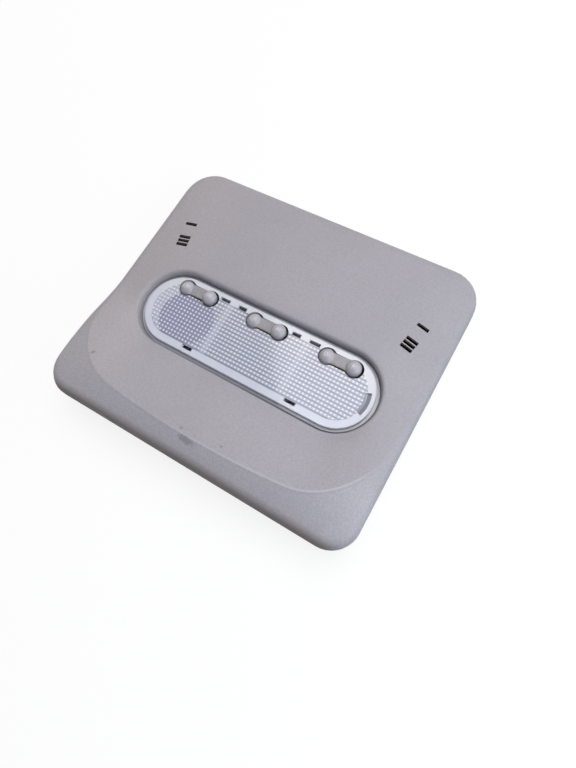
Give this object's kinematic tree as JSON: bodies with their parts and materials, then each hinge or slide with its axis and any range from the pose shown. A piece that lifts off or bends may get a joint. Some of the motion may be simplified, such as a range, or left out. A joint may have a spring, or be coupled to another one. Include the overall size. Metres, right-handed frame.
{
  "type": "car interior light",
  "caption": "Wide overhead lamp panel: a rounded housing with a raised nose around a long prismatic lens with rocker switches, and the lamp unit behind it.",
  "frame": {"origin": "centre of the housing's plan, in the plane of the rim that meets the roof lining", "axes": "+X along the lens, +Y from the nose to the thin edge on the rocker side, +Z out of the lens face; the part lies on its rim"},
  "size_m": [0.2126, 0.1836, 0.036],
  "materials": {
    "housing": "fine leather grain",
    "lens": "clear, prismatic inside, smooth border",
    "rocker": "satin",
    "carrier": "moulded",
    "reflector": "vacuum metallised",
    "bulb_glass": "clear",
    "contact": "stamped",
    "board": "solder mask",
    "black_plastic": "moulded",
    "screw_steel": "zinc plated"
  },
  "bodies": {
    "console": {"housing": "housing", "lens": "lens", "lamp_carrier": "carrier", "reflector_left": "reflector", "reflector_centre": "reflector", "reflector_right": "reflector", "bulb_left": "bulb_glass", "bulb_centre": "bulb_glass", "bulb_right": "bulb_glass", "socket_left": "carrier", "socket_right": "carrier", "festoon_clip_left": "contact", "festoon_clip_right": "contact", "lamp_strip_left": "contact", "lamp_strip_right": "contact", "circuit_board": "board", "connector_housing": "black_plastic", "pin_live": "contact", "pin_door": "contact", "pin_ground": "contact", "carrier_screws": "screw_steel"},
    "rocker_left": {"rocker_left": "rocker"},
    "rocker_centre": {"rocker_centre": "rocker"},
    "rocker_right": {"rocker_right": "rocker"},
    "slide_left": {"slider_left": "black_plastic", "wiper_left": "contact"},
    "slide_centre": {"slider_centre": "black_plastic", "wiper_centre": "contact"},
    "slide_right": {"slider_right": "black_plastic", "wiper_right": "contact"}
  },
  "joints": [
    {"name": "rocker_left_tilt", "type": "hinge", "parent": "console", "child": "rocker_left", "pos_m": [-0.05175, 0.00575, 0.014], "axis": [0, 1, 0], "range_deg": [0, 12]},
    {"name": "rocker_centre_tilt", "type": "hinge", "parent": "console", "child": "rocker_centre", "pos_m": [0, 0.00575, 0.014], "axis": [0, 1, 0], "range_deg": [0, 12]},
    {"name": "rocker_right_tilt", "type": "hinge", "parent": "console", "child": "rocker_right", "pos_m": [0.05175, 0.00575, 0.014], "axis": [0, 1, 0], "range_deg": [0, 12]},
    {"name": "slider_left_move", "type": "slide", "parent": "console", "child": "slide_left", "axis": [-1, 0, 0], "range_m": [0, 0.00128]},
    {"name": "slider_centre_move", "type": "slide", "parent": "console", "child": "slide_centre", "axis": [-1, 0, 0], "range_m": [0, 0.00128]},
    {"name": "slider_right_move", "type": "slide", "parent": "console", "child": "slide_right", "axis": [-1, 0, 0], "range_m": [0, 0.00128]}
  ],
  "couplings": [
    {"joint": "slider_left_move", "follows": "rocker_left_tilt", "m_per_rad": 0.006},
    {"joint": "slider_centre_move", "follows": "rocker_centre_tilt", "m_per_rad": 0.006},
    {"joint": "slider_right_move", "follows": "rocker_right_tilt", "m_per_rad": 0.006}
  ]
}
